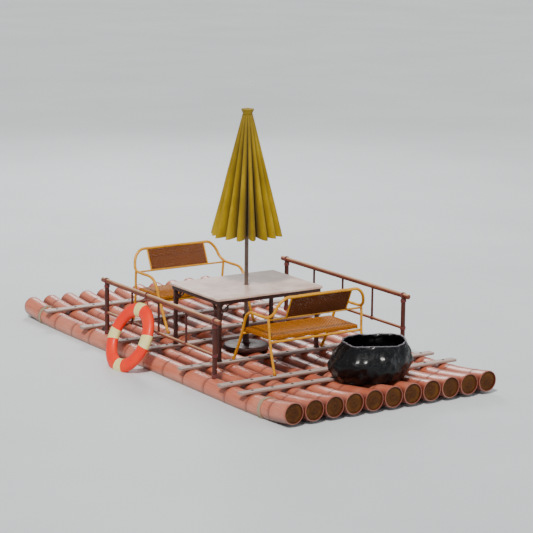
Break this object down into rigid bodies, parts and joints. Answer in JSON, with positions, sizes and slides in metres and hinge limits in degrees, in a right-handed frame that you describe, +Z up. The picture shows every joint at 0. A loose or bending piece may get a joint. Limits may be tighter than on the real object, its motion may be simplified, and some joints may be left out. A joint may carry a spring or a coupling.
{
  "type": "furnished bamboo-look pipe raft",
  "caption": "Raft of upturned bamboo-look pipes with side rails, a table under a furled parasol, facing benches, a hanging lifebuoy and an open gear sack.",
  "frame": {"origin": "middle of the raft's outer box, on the plane that the pipes' undersides rest on", "axes": "+X to the walkway side (right rail), +Y along the pipes from the near end to the far end, +Z up"},
  "size_m": [2.5902, 4.9, 2.5],
  "materials": {
    "pipe": "satin bamboo-look plastic",
    "crossbar": "weathered, bare",
    "rail": "red-brown varnish, worn",
    "table_slab": "pale satin varnish",
    "dark_iron": "dark brown paint",
    "parasol_pole": "grey-brown paint",
    "parasol_cloth": "mustard-olive woven cloth",
    "bench_tube": "golden-yellow paint",
    "bench_weave": "woven strip",
    "buoy": "sun-worn satin",
    "rope": "laid rope",
    "sack": "glossy sheet"
  },
  "bodies": {
    "raft": {"pipe_1": "pipe", "pipe_2": "pipe", "pipe_3": "pipe", "pipe_4": "pipe", "pipe_5": "pipe", "pipe_6": "pipe", "pipe_7": "pipe", "pipe_8": "pipe", "pipe_9": "pipe", "pipe_10": "pipe", "pipe_11": "pipe", "crossbar_near_end": "crossbar", "crossbar_near_bench_back": "crossbar", "crossbar_near_bench_front": "crossbar", "crossbar_table_far": "crossbar", "crossbar_far_bench_front": "crossbar", "crossbar_far_bench_back": "crossbar", "crossbar_far_end": "crossbar", "left_rail_post_near": "rail", "left_rail_post_far": "rail", "left_rail_top": "rail", "left_rail_lower": "rail", "left_rail_baluster_1": "rail", "left_rail_baluster_2": "rail", "left_rail_baluster_3": "rail", "right_rail_post_near": "rail", "right_rail_post_far": "rail", "right_rail_top": "rail", "right_rail_lower": "rail", "right_rail_baluster_1": "rail", "right_rail_baluster_2": "rail", "right_rail_baluster_3": "rail", "table_top": "table_slab", "table_frame": "dark_iron", "table_leg_near_left": "dark_iron", "table_leg_near_right": "dark_iron", "table_leg_far_left": "dark_iron", "table_leg_far_right": "dark_iron", "parasol_base": "dark_iron", "near_bench_frame": "bench_tube", "near_bench_seat": "bench_weave", "near_bench_back": "bench_weave", "far_bench_frame": "bench_tube", "far_bench_seat": "bench_weave", "far_bench_back": "bench_weave", "gear_sack": "sack"},
    "parasol": {"parasol_pole": "parasol_pole", "parasol_crown_ribs": "parasol_pole", "parasol_runner": "parasol_pole", "parasol_canopy": "parasol_cloth", "parasol_cap": "parasol_cloth"},
    "lifebuoy": {"lifebuoy_ring": "buoy", "lifebuoy_rope": "rope"}
  },
  "joints": [
    {"name": "parasol_turn", "type": "hinge", "parent": "raft", "child": "parasol", "pos_m": [-0.085, -0.347, 0.53], "axis": [0, 0, 1], "continuous": true},
    {"name": "lifebuoy_swing", "type": "hinge", "parent": "raft", "child": "lifebuoy", "pos_m": [-0.935, 0.06, 0.725], "axis": [0, 1, 0], "range_deg": [0, 60]}
  ]
}
